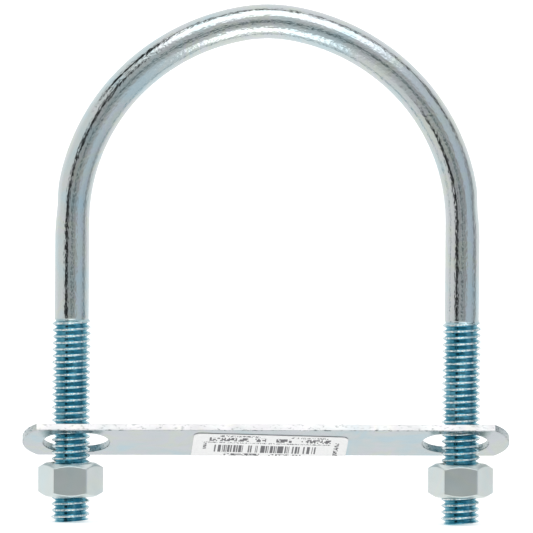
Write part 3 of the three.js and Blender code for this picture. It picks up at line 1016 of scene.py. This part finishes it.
inner_edges = [e for e in plate_shape.edges if e.is_boundary and is_inner(e)]
bmesh.ops.triangle_fill(
    plate_shape, edges=inner_edges, use_beauty=True, use_dissolve=False, normal=(0, 0, 1),
)
bmesh.ops.recalc_face_normals(plate_shape, faces=plate_shape.faces)
for face in plate_shape.faces:
    if face.normal.z > 0:
        face.normal_flip()
bmesh.ops.translate(plate_shape, verts=plate_shape.verts, vec=(0, 0, -PLATE_THICKNESS / 2))
raised = bmesh.ops.extrude_face_region(plate_shape, geom=plate_shape.faces[:], use_keep_orig=True)["geom"]
upper_corners = [g for g in raised if isinstance(g, bmesh.types.BMVert)]
bmesh.ops.translate(plate_shape, verts=upper_corners, vec=(0, 0, PLATE_THICKNESS))
bmesh.ops.recalc_face_normals(plate_shape, faces=plate_shape.faces)
print("Plate:", len(plate_shape.faces), "faces before its rims are rounded")

# %% [markdown]
# ## The plate's faces and rims
# Each face takes the finish of the work that made it. The rims are rounded last, and the new small faces
# on the underside become the burr.

# %% Plate piece
plate_finishes = [plate_zinc, cut_zinc, punched_zinc, burr_zinc]
FLAT, CUT, PUNCHED, BURR = range(len(plate_finishes))
for face in plate_shape.faces:
    at_side = abs(face.calc_center_median().y) > PLATE_HALF_WIDTH - RIM / 2
    if abs(face.normal.z) > 0.5:
        face.material_index = FLAT
    elif abs(face.normal.y) > 0.99 and at_side:
        face.material_index = CUT
    else:
        face.material_index = PUNCHED
rim_edges = [e for e in plate_shape.edges if e.calc_face_angle(0.0) > math.radians(60)]
rounded = bmesh.ops.bevel(
    plate_shape, geom=rim_edges, offset=RIM_ROUND, offset_type="OFFSET", segments=3, profile=0.5,
    affect="EDGES", material=-1, clamp_overlap=True, loop_slide=True,
)
for face in rounded["faces"]:
    if face.calc_center_median().z < 0:
        face.material_index = BURR
tally("The plate", plate_shape)
bmesh.ops.transform(plate_shape, verts=plate_shape.verts, matrix=PLATE_PLACE)
plate = finish_piece("slotted_plate", plate_shape, plate_finishes, sharp=50, flat_sides=True)
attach(plate, "plate")
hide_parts("clamp_plate")

# %% [markdown]
# ## The size label
# A paper sticker, put on a little askew and folded over the plate's far edge. A sheet could be draped
# over the plate by simulation, but paper that is glued down only bends where the plate does. So a flat
# sheet is sliced across the fold, and each slice is carried round the edge by how far along the paper it
# lies.

# %% Label sizes and fold
LABEL_WIDTH = 38.1 * MM
LABEL_LENGTH = 19 * MM
LABEL_PAPER = 0.12 * MM
LABEL_GLUE = 0.05 * MM
LABEL_TURN = math.radians(3.7)
LABEL_OFFSET = 1.4 * MM
LABEL_SETBACK = 2.8 * MM
LABEL_CORNER = 1.7 * MM
FOLD_RADIUS = 0.3 * MM
FOLD_SLICE = 0.09 * MM
FOLD_FROM = PLATE_HALF_WIDTH - 0.5 * MM
FOLD_TO = PLATE_HALF_WIDTH + 3.2 * MM


def over_the_edge(y):
    """Where paper that runs straight to y ends up, as (y, z), once it is folded round the far edge."""
    skin = PLATE_THICKNESS / 2 + LABEL_GLUE
    turn_at = PLATE_HALF_WIDTH + LABEL_GLUE - FOLD_RADIUS
    quarter = FOLD_RADIUS * math.pi / 2
    rise = 2 * (skin - FOLD_RADIUS)
    run = y - turn_at
    if run <= 0:
        return y, -skin
    if run <= quarter:
        turned = run / FOLD_RADIUS
        return turn_at + FOLD_RADIUS * math.sin(turned), -skin + FOLD_RADIUS * (1 - math.cos(turned))
    run -= quarter
    if run <= rise:
        return turn_at + FOLD_RADIUS, -skin + FOLD_RADIUS + run
    run -= rise
    if run <= quarter:
        turned = run / FOLD_RADIUS
        return turn_at + FOLD_RADIUS * math.cos(turned), skin - FOLD_RADIUS * (1 - math.sin(turned))
    return turn_at - (run - quarter), skin


print("Paper past the fold lies at mm:", [round(v / MM, 2) for v in over_the_edge(FOLD_TO)])

# %% Label shape
label_shape = bmesh.new()
bmesh.ops.create_grid(label_shape, x_segments=1, y_segments=1, size=0.5)
bmesh.ops.scale(label_shape, verts=label_shape.verts, vec=(LABEL_WIDTH, LABEL_LENGTH, 1))
bmesh.ops.bevel(
    label_shape, geom=label_shape.verts[:], offset=LABEL_CORNER, offset_type="OFFSET", segments=6,
    profile=0.5, affect="VERTICES", material=-1,
)
print_map = label_shape.loops.layers.uv.new("print")
for face in label_shape.faces:
    for loop in face.loops:
        loop[print_map].uv = (loop.vert.co.x / LABEL_WIDTH + 0.5, loop.vert.co.y / LABEL_LENGTH + 0.5)
front_middle = Matrix.Translation((LABEL_OFFSET, LABEL_SETBACK - PLATE_HALF_WIDTH, 0))
from_its_front = Matrix.Translation((0, LABEL_LENGTH / 2, 0))
stuck = front_middle @ Matrix.Rotation(LABEL_TURN, 4, "Z") @ from_its_front
bmesh.ops.transform(label_shape, verts=label_shape.verts, matrix=stuck)
slice_at = FOLD_FROM
while slice_at < FOLD_TO:
    everything = label_shape.verts[:] + label_shape.edges[:] + label_shape.faces[:]
    bmesh.ops.bisect_plane(
        label_shape, geom=everything, dist=0.0001 * MM, plane_co=(0, slice_at, 0), plane_no=(0, 1, 0),
    )
    slice_at += FOLD_SLICE
for vertex in label_shape.verts:
    vertex.co.y, vertex.co.z = over_the_edge(vertex.co.y)
bmesh.ops.recalc_face_normals(label_shape, faces=label_shape.faces)
lowest = min(label_shape.faces, key=lambda f: f.calc_center_median().z)
if lowest.normal.z > 0:
    bmesh.ops.reverse_faces(label_shape, faces=label_shape.faces)
bmesh.ops.solidify(label_shape, geom=label_shape.faces[:], thickness=-LABEL_PAPER)
bmesh.ops.recalc_face_normals(label_shape, faces=label_shape.faces)
bmesh.ops.transform(label_shape, verts=label_shape.verts, matrix=PLATE_PLACE)
tally("The label", label_shape)

# %% [markdown]
# ## The label's print
# A real label holds words, numbers and a bar code. This one says nothing: a row of unequal bars, and rows
# of short dashes where small print would be. Each is a block of the label's own map, where a cell of
# white noise is either inked or not. Paper needs a finish too, so a fine noise gives it its fibre.

# %% Print helpers
label_paper, tree, shader = new_finish("label_paper")
uv = add_node(tree, "UVMap", uv_map="print").outputs["UV"]
spot = add_node(tree, "SeparateXYZ", {0: uv})
across, down = spot.outputs[0], spot.outputs[1]
ROW_SEED = 61.0
DASH_SEED = 11.0
BAR_SEED = 3.0


def within(value, low, high):
    """1 inside the range, 0 outside."""
    above = math_node(tree, "GREATER_THAN", value, low)
    return math_node(tree, "MULTIPLY", above, math_node(tree, "LESS_THAN", value, high))


def cells(value, count):
    """The number of the cell that the value lies in, of that many."""
    return math_node(tree, "FLOOR", math_node(tree, "MULTIPLY", value, count))


def inked(cell, share):
    """1 in a share of the cells, picked at random."""
    chance = add_node(tree, "TexWhiteNoise", {"W": cell}, noise_dimensions="1D").outputs["Value"]
    return math_node(tree, "LESS_THAN", chance, share)


def bars(columns, share):
    """A run of unequal upright bars."""
    return inked(math_node(tree, "ADD", cells(across, columns), BAR_SEED), share)


def dashes(columns, rows, share):
    """Short dashes in rows."""
    column = math_node(tree, "ADD", cells(across, columns), DASH_SEED)
    return inked(math_node(tree, "MULTIPLY_ADD", cells(down, rows), ROW_SEED, column), share)


def block(x0, x1, y0, y1, pattern):
    """A patterned rectangle of the print."""
    mask = math_node(tree, "MULTIPLY", within(across, x0, x1), within(down, y0, y1))
    return math_node(tree, "MULTIPLY", mask, pattern)


print("Print helpers are ready on", label_paper.name)

# %% Label finish
PAPER_DARK = (0.76, 0.76, 0.755)
PAPER_LIGHT = (0.84, 0.84, 0.835)
INK = (0.04, 0.04, 0.05, 1.0)
INK_STRENGTH = 0.9
ink = block(0.14, 0.80, 0.35, 0.585, bars(210.0, 0.47))
for x0, x1, y0, y1, columns, rows, share in (
    (0.17, 0.43, 0.035, 0.085, 150.0, 40.0, 0.42),
    (0.63, 0.87, 0.045, 0.085, 150.0, 50.0, 0.42),
    (0.105, 0.36, 0.11, 0.225, 110.0, 26.0, 0.55),
    (0.40, 0.47, 0.11, 0.225, 110.0, 26.0, 0.55),
    (0.52, 0.65, 0.11, 0.225, 110.0, 26.0, 0.55),
    (0.70, 0.89, 0.11, 0.225, 110.0, 26.0, 0.55),
    (0.06, 0.89, 0.255, 0.29, 190.0, 57.0, 0.45),
    (0.21, 0.44, 0.62, 0.70, 90.0, 38.0, 0.55),
    (0.50, 0.71, 0.62, 0.70, 90.0, 38.0, 0.55),
    (0.915, 0.945, 0.20, 0.66, 100.0, 60.0, 0.5),
    (0.07, 0.09, 0.30, 0.50, 100.0, 60.0, 0.35),
):
    ink = math_node(tree, "MAXIMUM", ink, block(x0, x1, y0, y1, dashes(columns, rows, share)))
fibre = noise(tree, add_node(tree, "TexCoord").outputs["Object"], 1800.0, 4.0, 0.6)
paper = ramp(tree, fibre, [(0.3, PAPER_DARK), (0.7, PAPER_LIGHT)])
printed = mix_colour(tree, math_node(tree, "MULTIPLY", ink, INK_STRENGTH), paper, INK)
tree.links.new(printed, shader.inputs["Base Color"])
shader.inputs["Roughness"].default_value = 0.55
tree.links.new(relief(tree, (fibre, 0.008 * MM)), shader.inputs["Normal"])
print("Finish", label_paper.name, "has", len(tree.nodes), "nodes")

# %% Label piece
label = finish_piece("paper_label", label_shape, [label_paper])
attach(label, "plate")
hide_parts("size_label")

# %% [markdown]
# ## Sizes and the end
# The visual model's box is printed, beside the CAD model's box that was printed at the start. The
# visual model has to stay in the CAD model's box.

# %% Write the sizes and finish
low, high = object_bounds()
print("Visual box in mm:", [round(v / MM, 2) for v in (*low, *high)])
